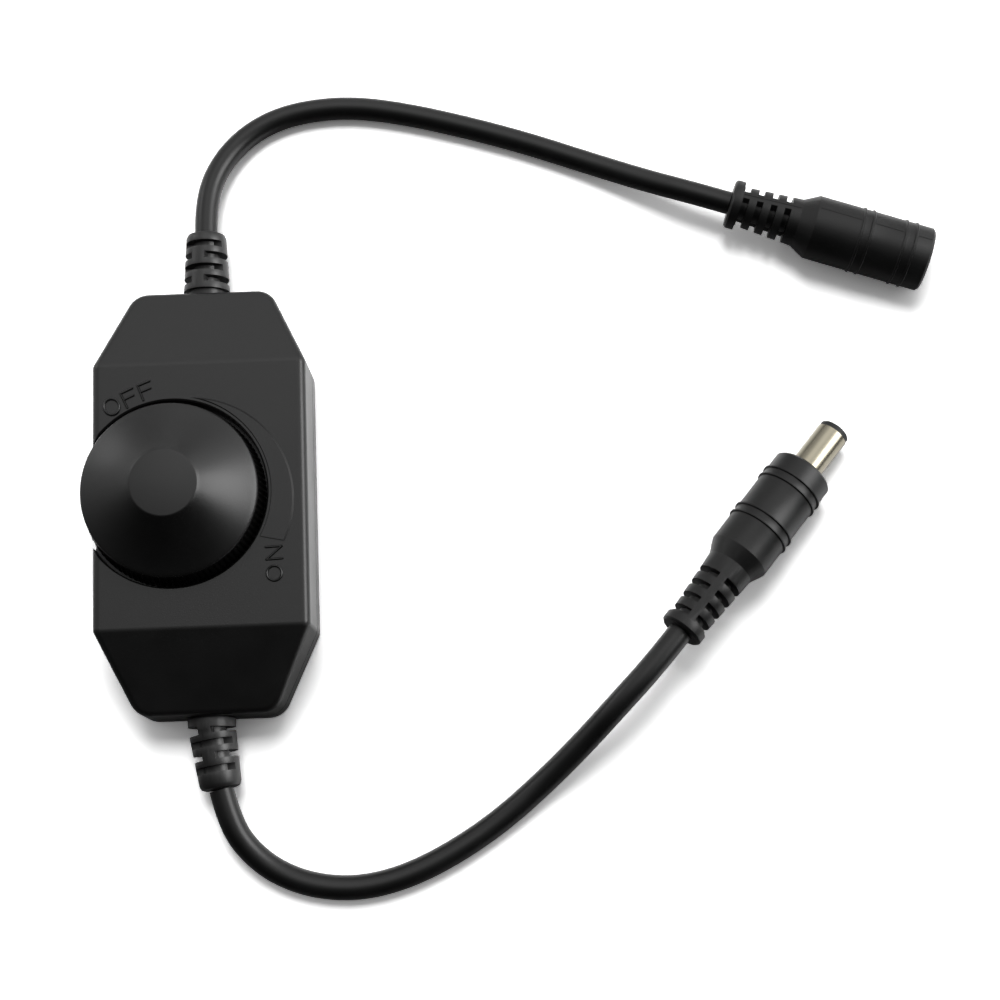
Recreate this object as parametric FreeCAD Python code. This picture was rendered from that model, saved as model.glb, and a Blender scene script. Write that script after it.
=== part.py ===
import FreeCAD, Part
import math
import os

# Rotary cord dimmer: a two-shell case with a dial on top and a short cord out of each end.
# Millimetres. X runs across the case, Y along it towards the socket cord, Z up.
# The origin is the middle of the case's underside, which is the face it stands on.

V = FreeCAD.Vector
ORIGIN = V(0, 0, 0)
UP = V(0, 0, 1)

# Case outline and shells
case_width = 35.0
case_length = 70.8
case_flat_length = 43.8
case_end_width = 22.6
case_height = 16.0
case_end_height = 10.7
case_draft = 0.25
side_corner_radius = 1.7
end_corner_radius = 3.5
crease_radius = 2.0
top_edge_radius = 1.3
bottom_edge_radius = 0.7
wall = 1.8
roof = 1.7
tray_floor = 1.6
seam_height = 4.8
seam_gap = 0.3
lip_height = 1.3
lip_clearance = 0.1
ledge_width = 6.0
ledge_reach_in = 4.0
rib_thickness = 1.2
rib_half_width = 7.0
rib_cord_clearance = 0.5

# Dial pocket in the upper shell
dial_x = -4.5
dial_y = 0.2
pocket_radius = 15.5
pocket_depth = 4.0
pocket_wall = 1.4
pocket_floor = 1.5
pocket_bevel = 0.25

# Raised crescent beside the pocket, wide at the bright end
crescent_gap = 0.6
crescent_height = 0.3
crescent_inner_run = 0.12
crescent_outer_run = 0.3
crescent_outer_radius = 17.1
crescent_outer_shift = (2.75, -1.3)
crescent_end_place = (14.8, -7.8)
crescent_end_angle = -11.9

# Dial knob
knob_radius = 14.3
knob_flare = 0.65
knob_lip = 0.7
knob_rim_round = 0.6
knob_rib_setback = 0.04
knob_rib_depth = 0.18
knob_rib_count = 96
knob_floor_gap = 0.4
knob_rim_top = 3.1
knob_cap_radius = 5.4
knob_cap_top = 8.8
knob_flank_hollow = 0.35
knob_cap_edge_radius = 0.5
knob_skin = 1.8
knob_hub_radius = 5.2
knob_web_thickness = 1.0
shaft_fit = 0.05

# Potentiometer
pot_width = 10.0
pot_depth = 10.6
pot_wall = 0.8
pot_track_thickness = 1.0
pot_roof_gap = 0.25
collar_radius = 3.7
collar_clearance = 0.2
shaft_radius = 3.0
shaft_flat = 1.5
shaft_top = 20.6
shaft_top_chamfer = 0.3
rotor_radius = 4.0
rotor_thickness = 1.0
rotor_clearance = 0.3
wiper_thickness = 0.2
wiper_gap = 0.1
wiper_ring = (1.0, 1.8)
finger_width = 0.45
finger_reach = (1.2, 3.4)
finger_offsets = (-0.7, 0.3)
terminal_width = 0.7
terminal_thickness = 0.4
terminal_pitch = 2.5
terminal_run_in = 1.1
terminal_run_out = 1.2
terminal_below_board = 0.9
terminal_hole_radius = 0.55

# Circuit board and what is on it
board_thickness = 1.2
board_bottom = 4.3
board_length = 38.0
board_wall_gap = 0.5
board_boss_gap = 0.4
part_lift = 0.05
transistor_size = (6.6, 6.1, 2.3)
tab_size = (5.4, 2.4, 0.5)
lead_width = 0.8
lead_length = 2.2
lead_spread = 2.06
package_bevel = 0.3
chip_size = (5.0, 4.0, 1.5)
chip_lift = 0.2
chip_lead_count = 4
chip_lead_pitch = 0.95
chip_lead_width = 0.42
chip_lead_reach = 1.0
chip_lead_shoulder = 0.5
chip_lead_thickness = 0.22
capacitor_radius = 3.15
capacitor_height = 3.7
capacitor_groove = (0.7, 1.3, 0.25)
capacitor_rim = 0.3
capacitor_base_size = 6.6
capacitor_base_height = 0.9
capacitor_base_cut = 1.0
diode_size = (4.4, 2.7, 2.1)
small_part_size = (2.0, 1.25, 0.5)

# Places on the board: insets from its edges, and how far up the board the big parts sit
right_column_inset = 6.8
small_column_gap = 5.4
transistor_y = 9.6
chip_y = 0.6
capacitor_y = -9.2
diode_inset = (7.2, 6.4)
resistor_inset = (4.8, 8.8)
resistor_pitch = 3.8
resistor_count = 3
lone_resistor_inset = 5.6
north_ceramic_inset = 6.6
south_ceramic_inset = 9.4
left_ceramic_inset = (2.8, 10.6)

# Screws and their seats
screw_inset = 4.6
screw_y = 17.9
boss_radius = 2.7
screw_shank_radius = 1.05
screw_hole_clearance = 0.2
pilot_clearance = 0.05
screw_head_radius = 2.1
screw_head_height = 1.2
screw_head_recess = 0.4
screw_length = 8.0
screw_head_clearance = 0.25
cross_width = 0.6
cross_length = 2.6
cross_depth = 0.7

# Strain reliefs on the case
relief_base_radius = 4.0
relief_end_radius = 3.45
relief_length = 11.6
relief_end_round = 0.9
relief_in_first_slot = 2.9
relief_in_undercut = 1.25
relief_in_roll = -17.0
relief_out_first_slot = 1.95
relief_out_roll = 13.0
relief_slot_count = 4
relief_slot_pitch = 2.13
relief_slot_width = 1.1
relief_web = 2.2
relief_neck_radius = 3.1
relief_neck_clearance = 0.1
relief_flange_radius = 4.0
relief_flange_thickness = 1.6
relief_lean = 8.0
relief_wall_gap = 0.2
jacket_stub = 2.6
core_skin = 0.25

# Cords
cord_in_diameter = 3.9
cord_out_diameter = 4.1
wire_radius = 0.65
wire_spread = 1.0
wire_board_gap = 0.15
wire_landing = 1.0
wire_end_inset = 2.5
wire_splay = (0.4, 1.6, 2.0)

# Plug and socket grips; distances run back from the front face
grip_rim_radius = 5.25
ridge_height = 0.3
ridge_width = 0.5
grip_front_round = 0.4
neck_radius = 4.1
grip_slot_width = 1.1
grip_web = 1.4
grip_collar_length = 1.7
grip_end_round = 0.35

plug_ridges = (3.6, 5.15, 11.8, 13.4)
plug_collar_radius = 3.7
plug_grip_length = 18.9
plug_shoulder = 2.5
plug_first_slot = 24.9
plug_slot_pitch = 2.6
plug_slot_count = 4
plug_taper_radius = 3.3
plug_total = 35.4
barrel_radius = 2.75
barrel_length = 9.5
barrel_wall = 0.4
barrel_seat = 3.0
tip_length = 1.0
tip_inset = 0.1
contact_bore_radius = 1.05
contact_wall = 0.25
contact_inset = 0.2
contact_plug = 0.6

socket_rim_radius = 5.5
socket_ridge_height = 0.2
socket_ridges = (3.3, 5.1, 10.9, 12.5)
socket_collar_radius = 4.2
socket_roll = 42.0
socket_grip_length = 20.4
socket_shoulder = 2.6
socket_first_slot = 25.3
socket_slot_pitch = 2.43
socket_slot_count = 4
socket_taper_radius = 3.4
socket_total = 35.0
socket_bore_radius = 4.3
socket_bore_depth = 12.0
insert_setback = 0.3
insert_mouth_radius = 2.85
insert_base = 2.0
insert_lead_in = 0.3
insert_slot_start = 2.0
pin_radius = 1.0
pin_setback = 1.6
pin_nose = 0.9
spring_width = 1.6
spring_thickness = 0.25
spring_bulge = 0.85
spring_start = 2.3
spring_tail = 0.9
seat_fit = 0.03

# Where the plug and the socket lie: front face centre, heading, and how far the nose dips
plug_nose = V(99.95, 1.82, 5.22)
plug_heading = 49.8
plug_dip = 8.0
socket_nose = V(123.4, 37.95, 5.6)
socket_heading = -18.6
socket_dip = 1.5

# Routes of the cords between the relief's end and the collar, chosen by hand
cord_in_points = (
    V(-0.1, 52.9, 4.4),
    V(1.7, 59.6, 3.3),
    V(5.9, 65.3, 2.4),
    V(11.7, 69.0, 2.05),
    V(18.5, 70.6, 2.0),
    V(25.8, 70.8, 2.0),
    V(33.8, 69.5, 2.0),
    V(43.8, 66.9, 2.0),
    V(55.5, 63.2, 2.0),
    V(66.5, 58.9, 2.3),
    V(76.2, 54.6, 4.2),
    V(83.6, 51.5, 6.2),
)
cord_out_points = (
    V(2.7, -52.6, 4.4),
    V(5.6, -57.3, 3.4),
    V(10.2, -61.1, 2.5),
    V(16.4, -63.5, 2.1),
    V(23.6, -64.1, 2.1),
    V(31.2, -62.5, 2.1),
    V(39.2, -58.9, 2.1),
    V(47.3, -53.8, 2.1),
    V(54.6, -47.8, 3.4),
    V(60.9, -42.1, 6.9),
    V(66.9, -36.1, 10.2),
    V(72.6, -30.4, 10.9),
)


def moved(shape, offset):
    """A copy of the shape, shifted by the offset."""
    result = shape.copy()
    result.translate(offset)
    return result


def box(x_range, y_range, z_range):
    """Box between two values on each axis."""
    size = [high - low for low, high in (x_range, y_range, z_range)]
    return Part.makeBox(size[0], size[1], size[2], V(x_range[0], y_range[0], z_range[0]))


def standing_cylinder(radius, x, y, low, high):
    """Upright cylinder between two heights."""
    return Part.makeCylinder(radius, high - low, V(x, y, low), UP)


def lying_cylinder(radius, y_from, y_to, height):
    """Cylinder along Y on the case's middle line."""
    return Part.makeCylinder(radius, y_to - y_from, V(0, y_from, height), V(0, 1, 0))


def rounded_loop(corners, radii, inset, height):
    """Closed convex loop, pulled in by the inset, with an arc at each corner."""
    pieces = []
    count = len(corners)
    for index in range(count):
        here = V(corners[index][0], corners[index][1], height)
        before = corners[index - 1]
        after = corners[(index + 1) % count]
        back = (V(before[0], before[1], height) - here).normalize()
        ahead = (V(after[0], after[1], height) - here).normalize()
        half = back.getAngle(ahead) / 2
        inward = (back + ahead).normalize()
        here = here + inward * (inset / math.sin(half))
        radius = max(radii[index] - inset, 0.3)
        reach = radius / math.tan(half)
        middle = here + inward * (radius / math.sin(half) - radius)
        pieces.append((here + back * reach, middle, here + ahead * reach))
    edges = []
    for index in range(count):
        start, middle, end = pieces[index]
        edges.append(Part.Arc(start, middle, end).toShape())
        edges.append(Part.LineSegment(end, pieces[(index + 1) % count][0]).toShape())
    return Part.Wire(edges)


def case_corners():
    """Corners of the long octagon, and the radius at each."""
    half_width = case_width / 2
    half_length = case_length / 2
    half_flat = case_flat_length / 2
    half_end = case_end_width / 2
    corners = (
        (half_width, -half_flat), (half_width, half_flat),
        (half_end, half_length), (-half_end, half_length),
        (-half_width, half_flat), (-half_width, -half_flat),
        (-half_end, -half_length), (half_end, -half_length),
    )
    side, end = side_corner_radius, end_corner_radius
    return corners, (side, side, end, end, side, side, end, end)


def plan_block(inset, low, high):
    """Upright block on the octagon, wider at the bottom by the draft."""
    corners, radii = case_corners()
    loops = []
    for height in (low, high):
        spread = case_draft * (1 - height / case_height)
        loops.append(rounded_loop(corners, radii, inset - spread, height))
    return Part.makeLoft(loops, True, True)


def roof_block(inset):
    """Prism across X under the flat top and the two sloping ends."""
    reach = case_length / 2 + wall * 3
    fall = (case_height - case_end_height) / (case_length / 2 - case_flat_length / 2)
    end_height = case_height - fall * (reach - case_flat_length / 2)
    below = -case_height
    corners = (
        (reach, below), (reach, end_height), (case_flat_length / 2, case_height),
        (-case_flat_length / 2, case_height), (-reach, end_height), (-reach, below),
    )
    radii = (inset + 1, inset + 1, crease_radius + inset, crease_radius + inset, inset + 1, inset + 1)
    loop = rounded_loop(corners, radii, inset, -case_width)
    prism = Part.Face(loop).extrude(V(0, 0, case_width * 2))
    prism.rotate(ORIGIN, V(1, 1, 1), 120)
    return prism


def case_hull():
    """The whole outside of the case, both shells, with its edges rounded."""
    hull = plan_block(0, 0, case_height + 1).common(roof_block(0)).removeSplitter()
    rim = []
    for edge in hull.Edges:
        middle = edge.valueAt((edge.FirstParameter + edge.LastParameter) / 2)
        across = abs(middle.x) < 1 and abs(middle.y) < case_length / 2 - wall
        if middle.z > case_end_height - case_draft and not across:
            rim.append(edge)
    hull = hull.makeFillet(top_edge_radius, rim)
    foot = [edge for edge in hull.Edges if edge.BoundBox.ZMax < 0.001]
    return hull.makeFillet(bottom_edge_radius, foot)


def screw_places():
    """Middles of the four screws."""
    screw_x = case_width / 2 - screw_inset
    return [(x, y) for x in (-screw_x, screw_x) for y in (-screw_y, screw_y)]


pocket_bottom = case_height - pocket_depth
pocket_underside = pocket_bottom - pocket_floor
board_top = board_bottom + board_thickness
board_half_x = case_width / 2 - wall - board_wall_gap
board_half_y = board_length / 2
right_column = board_half_x - right_column_inset
small_column = right_column - small_column_gap
transistor_place = (right_column, transistor_y)
chip_place = (right_column, chip_y)
capacitor_place = (right_column, capacitor_y)
diode_place = (diode_inset[0] - board_half_x, diode_inset[1] - board_half_y)
resistor_places = [
    (resistor_inset[0] - board_half_x + step * resistor_pitch, board_half_y - resistor_inset[1])
    for step in range(resistor_count)
] + [(small_column, lone_resistor_inset - board_half_y)]
ceramic_places = [
    (small_column, board_half_y - north_ceramic_inset),
    (small_column, south_ceramic_inset - board_half_y),
    (left_ceramic_inset[0] - board_half_x, left_ceramic_inset[1] - board_half_y),
]
seam_low = seam_height - seam_gap / 2
seam_high = seam_height + seam_gap / 2
track_top = board_top + part_lift + pot_track_thickness
rotor_low = track_top + wiper_gap + wiper_thickness
rotor_high = rotor_low + rotor_thickness
pot_top = pocket_underside - pot_roof_gap


def leaning_disc(radius, run, x, y):
    """Round plate on the case's top whose flank leans inward by the run; a minus run leans outward."""
    low = case_height - roof / 2
    high = case_height + crescent_height
    slope = run / crescent_height
    return Part.makeCone(radius + slope * roof / 2, radius - run, high - low, V(x, y, low), UP)


def crescent():
    """Raised marker beside the pocket, bounded by two circles and a straight end wall."""
    outer_x = dial_x + crescent_outer_shift[0]
    outer_y = dial_y + crescent_outer_shift[1]
    plate = leaning_disc(crescent_outer_radius, crescent_outer_run, outer_x, outer_y)
    plate = plate.cut(leaning_disc(pocket_radius + crescent_gap, -crescent_inner_run, dial_x, dial_y))
    reach = crescent_outer_radius * 2
    beyond = box((-reach, reach), (-reach, 0), (0, case_height * 2))
    beyond.rotate(ORIGIN, UP, crescent_end_angle)
    beyond.translate(V(dial_x + crescent_end_place[0], dial_y + crescent_end_place[1], 0))
    return plate.cut(beyond)


def upper_case(hull):
    """Top shell: hollow moulding with the dial pocket, screw bosses and cord gates."""
    x_range, y_range = (-case_width, case_width), (-case_length, case_length)
    outside = hull.common(box(x_range, y_range, (seam_high, case_height + 1)))
    hollow = plan_block(wall, -1, case_height).common(roof_block(roof))
    rebate = plan_block(wall / 2, -1, seam_high + lip_height + lip_clearance)
    cup_radius = pocket_radius + pocket_wall
    cup = standing_cylinder(cup_radius, dial_x, dial_y, pocket_underside, case_height - roof / 2)
    cup = cup.common(hull)
    shell = outside.cut(hollow).fuse(cup).cut(rebate)
    inside = hull.common(plan_block(wall / 2 + lip_clearance, -1, case_height))
    for x, y in screw_places():
        boss = standing_cylinder(boss_radius, x, y, seam_high, case_height - roof / 2)
        shell = shell.fuse(boss.common(inside))
    shell = shell.fuse(crescent())
    shell = shell.cut(standing_cylinder(pocket_radius, dial_x, dial_y, pocket_bottom, case_height + 1))
    bevel = Part.makeCone(
        pocket_radius - pocket_bevel, pocket_radius + pocket_bevel * 2, pocket_bevel * 3,
        V(dial_x, dial_y, case_height - pocket_bevel * 2), UP,
    )
    shell = shell.cut(bevel)
    bearing = collar_radius + collar_clearance
    shell = shell.cut(standing_cylinder(bearing, dial_x, dial_y, pocket_underside - 1, pocket_bottom + 1))
    pilot = screw_shank_radius + pilot_clearance
    for x, y in screw_places():
        shell = shell.cut(standing_cylinder(pilot, x, y, 0, screw_head_recess + screw_length + 1))
    return shell.cut(cord_gates()).removeSplitter()


def cord_gates():
    """Round holes through both end walls, split by the seam."""
    radius = relief_neck_radius + relief_neck_clearance
    outer = case_length / 2 + wall
    inner = case_length / 2 - wall * 2
    gate = lying_cylinder(radius, inner, outer, seam_height)
    return gate.fuse(lying_cylinder(radius, -outer, -inner, seam_height))


def lower_case(hull):
    """Bottom shell: shallow tray with a lip, screw columns, board ledges and relief ribs."""
    outside = hull.common(box((-case_width, case_width), (-case_length, case_length), (-1, seam_low)))
    tray = outside.cut(plan_block(wall, tray_floor, case_height))
    lip_top = seam_high + lip_height
    lip = plan_block(wall / 2 + lip_clearance, tray_floor, lip_top)
    lip = lip.cut(plan_block(wall, tray_floor - 1, lip_top + 1))
    tray = tray.fuse(lip)
    cavity = plan_block(wall / 2 + lip_clearance, tray_floor / 2, case_height)
    for x, y in screw_places():
        tray = tray.cut(standing_cylinder(boss_radius + lip_clearance, x, y, seam_low, case_height))
        column = standing_cylinder(boss_radius, x, y, tray_floor / 2, seam_low)
        tray = tray.fuse(column.common(cavity))
    ledge_reach = case_width / 2 - wall / 2
    for side in (-1, 1):
        x_range = sorted((side * ledge_reach, side * (ledge_reach - ledge_reach_in)))
        ledge = box(x_range, (-ledge_width / 2, ledge_width / 2), (tray_floor / 2, board_bottom))
        tray = tray.fuse(ledge.common(cavity))
    rib_y = case_length / 2 - wall - relief_flange_thickness - relief_neck_clearance * 2
    for side in (-1, 1):
        y_range = sorted((side * rib_y, side * (rib_y - rib_thickness)))
        rib = box((-rib_half_width, rib_half_width), y_range, (tray_floor / 2, seam_low))
        groove = cord_in_diameter / 2 + rib_cord_clearance
        rib = rib.cut(lying_cylinder(groove, y_range[0] - 1, y_range[1] + 1, seam_height))
        tray = tray.fuse(rib.common(cavity))
    shank_hole = screw_shank_radius + screw_hole_clearance
    head_hole = screw_head_radius + screw_head_clearance
    head_seat = screw_head_recess + screw_head_height
    for x, y in screw_places():
        tray = tray.cut(standing_cylinder(shank_hole, x, y, -1, case_height))
        tray = tray.cut(standing_cylinder(head_hole, x, y, -1, head_seat))
    return tray.cut(cord_gates()).removeSplitter()


def case_screws():
    """Four self-tapping pan-head screws with cross recesses, their heads bevelled below."""
    bevel = screw_head_height / 3
    head_top = screw_head_recess + screw_head_height
    tip = screw_shank_radius / 2
    half, reach = cross_width / 2, cross_length / 2
    outline = [
        V(0, 0, screw_head_recess), V(screw_head_radius - bevel, 0, screw_head_recess),
        V(screw_head_radius, 0, screw_head_recess + bevel), V(screw_head_radius, 0, head_top),
        V(screw_shank_radius, 0, head_top), V(screw_shank_radius, 0, screw_length - tip),
        V(tip / 2, 0, screw_length), V(0, 0, screw_length), V(0, 0, screw_head_recess),
    ]
    screw = Part.Face(Part.makePolygon(outline)).revolve(ORIGIN, UP, 360)
    deep = (screw_head_recess - 1, screw_head_recess + cross_depth)
    screw = screw.cut(box((-half, half), (-reach, reach), deep))
    screw = screw.cut(box((-reach, reach), (-half, half), deep))
    return Part.makeCompound([moved(screw, V(x, y, 0)) for x, y in screw_places()])


def ribbed_ring(low_radius, high_radius, low, high):
    """What lies outside a ring of small sharp upright ribs, whose radius changes with height."""
    loops = []
    for crest, height in ((low_radius, low), (high_radius, high)):
        points = []
        for index in range(knob_rib_count * 2):
            turn = math.pi * index / knob_rib_count
            reach = crest - knob_rib_setback - knob_rib_depth * (index % 2)
            points.append(V(dial_x + reach * math.cos(turn), dial_y + reach * math.sin(turn), height))
        points.append(points[0])
        loops.append(Part.makePolygon(points))
    ribs = Part.makeLoft(loops, True, True)
    return standing_cylinder(max(low_radius, high_radius) + 1, dial_x, dial_y, low, high).cut(ribs)


def shaft_section(extra, low, high):
    """Round shaft with one flat, grown all round by the extra."""
    rod = standing_cylinder(shaft_radius + extra, dial_x, dial_y, low, high)
    reach = shaft_radius + extra + 1
    flat = dial_y - shaft_flat - extra
    return rod.cut(box((dial_x - reach, dial_x + reach), (flat - reach, flat), (low - 1, high + 1)))


def dial_knob():
    """Hollow conical knob: smooth lip, flaring ribbed skirt, flat cap and a hub for the shaft."""
    low = pocket_bottom + knob_floor_gap
    rim_top = case_height + knob_rim_top
    cap_top = case_height + knob_cap_top
    skirt_radius = knob_radius + knob_flare
    rim_start = V(knob_radius, 0, rim_top)
    cap_edge = V(knob_cap_radius, 0, cap_top)
    middle = (rim_start + cap_edge) * 0.5
    flank_side = V(-(cap_top - rim_top), 0, -(knob_radius - knob_cap_radius)).normalize()
    middle = middle + flank_side * knob_flank_hollow
    flank = Part.Arc(rim_start, middle, cap_edge).toShape()
    outline = [
        Part.LineSegment(V(0, 0, low), V(skirt_radius, 0, low)).toShape(),
        Part.LineSegment(V(skirt_radius, 0, low), rim_start).toShape(),
        flank,
        Part.LineSegment(cap_edge, V(0, 0, cap_top)).toShape(),
        Part.LineSegment(V(0, 0, cap_top), V(0, 0, low)).toShape(),
    ]
    body = Part.Face(Part.Wire(outline)).revolve(ORIGIN, UP, 360)
    cap_rim = [e for e in body.Edges if e.BoundBox.ZMin > cap_top - 0.001 and e.BoundBox.XLength > 1]
    body = body.makeFillet(knob_cap_edge_radius, cap_rim)
    rim = []
    for edge in body.Edges:
        if edge.BoundBox.ZLength < 0.001 and abs(edge.BoundBox.ZMin - rim_top) < 0.001:
            rim.append(edge)
    body = body.makeFillet(knob_rim_round, rim)
    inner_radius = knob_radius - knob_skin
    cap_under = cap_top - knob_skin
    ceiling = [
        V(0, 0, low - 1), V(inner_radius, 0, low - 1), V(inner_radius, 0, rim_top - knob_skin / 2),
        V(knob_cap_radius - knob_skin / 3, 0, cap_under), V(0, 0, cap_under), V(0, 0, low - 1),
    ]
    hollow = Part.Face(Part.makePolygon(ceiling)).revolve(ORIGIN, UP, 360)
    body = body.cut(hollow)
    body.translate(V(dial_x, dial_y, 0))
    lip_share = knob_lip / (rim_top - low)
    body = body.cut(ribbed_ring(skirt_radius, knob_radius + knob_flare * lip_share, low, rim_top - knob_lip))
    hub = standing_cylinder(knob_hub_radius, dial_x, dial_y, low, cap_under + knob_skin / 2)
    for turn in (45, 135, 225, 315):
        half = knob_web_thickness / 2
        web_heights = (rim_top - knob_skin * 2, rim_top + knob_skin)
        web = box((0, inner_radius + knob_skin / 2), (-half, half), web_heights)
        web.rotate(ORIGIN, UP, turn)
        web.translate(V(dial_x, dial_y, 0))
        hub = hub.fuse(web)
    envelope = standing_cylinder(inner_radius + knob_skin / 2, dial_x, dial_y, low, rim_top)
    cone = Part.makeCone(
        inner_radius + knob_skin / 2, knob_cap_radius, cap_top - rim_top - knob_skin / 2,
        V(dial_x, dial_y, rim_top - knob_skin / 2), UP,
    )
    hub = hub.common(envelope.fuse(cone))
    body = body.fuse(hub)
    return body.cut(shaft_section(shaft_fit, low - 1, shaft_top + shaft_fit * 4)).removeSplitter()


def pot_housing():
    """Moulded cover with the rotor chamber, the stop and the bearing collar."""
    half_x, half_y = pot_width / 2, pot_depth / 2
    x_range = (dial_x - half_x, dial_x + half_x)
    y_range = (dial_y - half_y, dial_y + half_y)
    body = box(x_range, y_range, (track_top, pot_top))
    corners = [edge for edge in body.Edges if edge.BoundBox.ZLength > pot_top - track_top - 0.01]
    body = body.makeFillet(pot_wall, corners)
    chamber = rotor_radius + rotor_clearance
    body = body.cut(standing_cylinder(chamber, dial_x, dial_y, track_top - 1, rotor_high + rotor_clearance))
    collar_top = pocket_bottom + knob_floor_gap / 4
    body = body.fuse(standing_cylinder(collar_radius, dial_x, dial_y, pot_top - pot_wall / 2, collar_top))
    bore = shaft_radius + shaft_fit
    body = body.cut(standing_cylinder(bore, dial_x, dial_y, rotor_low, collar_top + 1))
    return body.removeSplitter()


def pot_track():
    """Phenolic wafer that closes the potentiometer from below."""
    half_x, half_y = pot_width / 2, pot_depth / 2
    low = board_top + part_lift
    body = box(
        (dial_x - half_x, dial_x + half_x), (dial_y - half_y, dial_y + half_y),
        (low, low + pot_track_thickness),
    )
    for step in (-1, 0, 1):
        x = dial_x + step * terminal_pitch
        half = terminal_width / 2 + part_lift
        front = dial_y - half_y
        y_range = (front - 1, front + terminal_run_in + part_lift * 2)
        body = body.cut(box((x - half, x + half), y_range, (low - 1, low + terminal_thickness + part_lift)))
    return body


def pot_shaft():
    """Rotor disc and flatted shaft, turned by the knob."""
    rotor = standing_cylinder(rotor_radius, dial_x, dial_y, rotor_low, rotor_high)
    rod = standing_cylinder(shaft_radius, dial_x, dial_y, rotor_low, pocket_bottom + knob_floor_gap)
    tail = shaft_section(0, pocket_bottom, shaft_top)
    crown = [edge for edge in tail.Edges if edge.BoundBox.ZMin > shaft_top - 0.001]
    tail = tail.makeChamfer(shaft_top_chamfer, crown)
    return rotor.fuse(rod).fuse(tail).removeSplitter()


def pot_wiper():
    """Sprung contact with two fingers under the rotor."""
    low = rotor_low - wiper_thickness
    ring = standing_cylinder(wiper_ring[1], dial_x, dial_y, low, rotor_low)
    ring = ring.cut(standing_cylinder(wiper_ring[0], dial_x, dial_y, low - 1, rotor_low + 1))
    for offset in finger_offsets:
        finger = box(
            (dial_x + finger_reach[0], dial_x + finger_reach[1]),
            (dial_y + offset, dial_y + offset + finger_width), (low, rotor_low),
        )
        ring = ring.fuse(finger)
    return ring.removeSplitter()


def pot_terminals():
    """Three pins that run out of the wafer and down through the board."""
    front = dial_y - pot_depth / 2
    low = board_top + part_lift
    pins = []
    for step in (-1, 0, 1):
        x = dial_x + step * terminal_pitch
        half = terminal_width / 2
        leg_y = front - terminal_run_out
        foot = box((x - half, x + half), (leg_y, front + terminal_run_in), (low, low + terminal_thickness))
        leg = box(
            (x - half, x + half), (leg_y, leg_y + terminal_thickness),
            (board_bottom - terminal_below_board, low + terminal_thickness),
        )
        pins.append(foot.fuse(leg).removeSplitter())
    return Part.makeCompound(pins)


def circuit_board():
    """Board between the screw bosses, with holes for the potentiometer pins."""
    half_x, half_y = board_half_x, board_half_y
    board = box((-half_x, half_x), (-half_y, half_y), (board_bottom, board_top))
    for x, y in screw_places():
        clear = boss_radius + board_boss_gap
        board = board.cut(standing_cylinder(clear, x, y, board_bottom - 1, board_top + 1))
        outward_x = sorted((x, math.copysign(half_x + 1, x)))
        outward_y = sorted((y - math.copysign(clear, y), math.copysign(half_y + 1, y)))
        board = board.cut(box(outward_x, outward_y, (board_bottom - 1, board_top + 1)))
    leg_y = dial_y - pot_depth / 2 - terminal_run_out + terminal_thickness / 2
    for step in (-1, 0, 1):
        x = dial_x + step * terminal_pitch
        board = board.cut(standing_cylinder(terminal_hole_radius, x, leg_y, board_bottom - 1, board_top + 1))
    return board.removeSplitter()


def board_block(place, size, lift, bevel):
    """Moulded package on the board, its top edges bevelled."""
    x, y = place
    low = board_top + lift
    block = box(
        (x - size[0] / 2, x + size[0] / 2), (y - size[1] / 2, y + size[1] / 2), (low, low + size[2]),
    )
    if bevel:
        crown = [edge for edge in block.Edges if edge.BoundBox.ZMin > low + size[2] - 0.001]
        block = block.makeChamfer(bevel, crown)
    return block


def transistor_tab():
    """Cooling tab and two leads of the power transistor."""
    x, y = transistor_place
    low = board_top + part_lift
    back = y + transistor_size[1] / 2
    front = y - transistor_size[1] / 2
    half = tab_size[0] / 2
    pieces = [box((x - half, x + half), (back, back + tab_size[1]), (low, low + tab_size[2]))]
    for side in (-1, 1):
        middle = x + side * lead_spread
        x_range = (middle - lead_width / 2, middle + lead_width / 2)
        pieces.append(box(x_range, (front - lead_length, front), (low, low + tab_size[2])))
    return Part.makeCompound(pieces)


def chip_leads():
    """Two rows of bent leads along the chip's long sides."""
    x, y = chip_place
    low = board_top + part_lift
    upper = low + chip_size[2] / 2
    half = chip_lead_width / 2
    inner = chip_lead_shoulder - chip_lead_thickness
    profile = (
        (0, upper), (inner, upper), (inner, low), (chip_lead_reach, low),
        (chip_lead_reach, low + chip_lead_thickness), (chip_lead_shoulder, low + chip_lead_thickness),
        (chip_lead_shoulder, upper + chip_lead_thickness),
        (0, upper + chip_lead_thickness), (0, upper),
    )
    leads = []
    for side in (-1, 1):
        for step in range(chip_lead_count):
            front = y + (step - (chip_lead_count - 1) / 2) * chip_lead_pitch - half
            points = [V(x + side * (chip_size[0] / 2 + out), front, height) for out, height in profile]
            leads.append(Part.Face(Part.makePolygon(points)).extrude(V(0, chip_lead_width, 0)))
    return Part.makeCompound(leads)


def smoothing_capacitor():
    """Aluminium can with a crimp groove near its foot."""
    x, y = capacitor_place
    low = board_top + part_lift + capacitor_base_height
    radius = capacitor_radius
    groove_low, groove_high, groove_depth = capacitor_groove
    outline = [
        V(0, 0, 0), V(radius, 0, 0), V(radius, 0, groove_low),
        V(radius - groove_depth, 0, (groove_low + groove_high) / 2), V(radius, 0, groove_high),
        V(radius, 0, capacitor_height - capacitor_rim), V(radius - capacitor_rim, 0, capacitor_height),
        V(0, 0, capacitor_height), V(0, 0, 0),
    ]
    can = Part.Face(Part.makePolygon(outline)).revolve(ORIGIN, UP, 360)
    return moved(can, V(x, y, low))


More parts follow.
